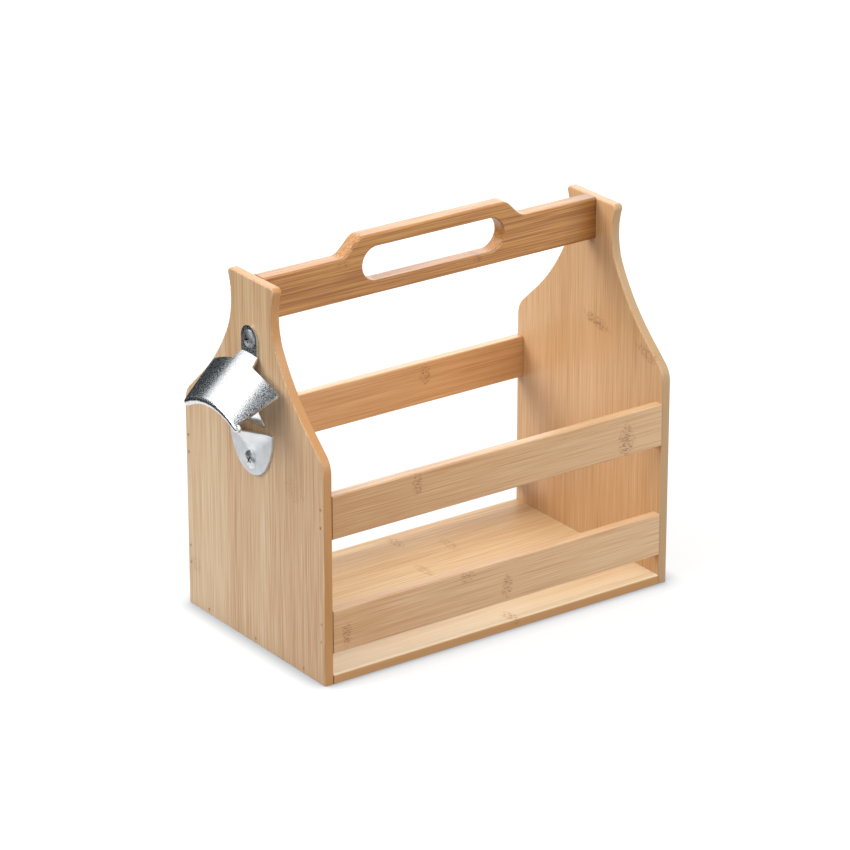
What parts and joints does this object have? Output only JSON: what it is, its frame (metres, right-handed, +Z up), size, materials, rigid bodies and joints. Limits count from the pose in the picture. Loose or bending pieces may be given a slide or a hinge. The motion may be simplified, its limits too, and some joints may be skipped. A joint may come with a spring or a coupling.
{
  "type": "bottle caddy",
  "caption": "Open bamboo bottle caddy with bottle-shaped end panels, slatted sides, a carrying handle with a hand slot and a plated bottle opener on one end",
  "frame": {"origin": "centre of the underside, in the plane that the caddy stands on", "axes": "+X along the caddy away from the opener, +Y to the rear, +Z up"},
  "size_m": [0.3072, 0.1586, 0.2631],
  "materials": {
    "bamboo": "sanded laminated bamboo, matte clear finish",
    "dowel_wood": "plain turned wood",
    "brad_steel": "plain steel wire",
    "plated_steel": "bright zinc plate",
    "screw_steel": "bright zinc plate"
  },
  "bodies": {
    "root": {"left_end_panel": "bamboo", "right_end_panel": "bamboo", "base_board": "bamboo", "handle_board": "bamboo", "front_upper_slat": "bamboo", "front_lower_slat": "bamboo", "rear_upper_slat": "bamboo", "rear_lower_slat": "bamboo", "left_handle_dowels": "dowel_wood", "right_handle_dowels": "dowel_wood", "front_upper_slat_brads": "brad_steel", "front_lower_slat_brads": "brad_steel", "rear_upper_slat_brads": "brad_steel", "rear_lower_slat_brads": "brad_steel", "left_base_brads": "brad_steel", "right_base_brads": "brad_steel", "opener_hood": "plated_steel", "opener_stay": "plated_steel", "opener_scoop": "plated_steel", "opener_upper_screw": "screw_steel", "opener_lower_screw": "screw_steel"}
  },
  "joints": []
}
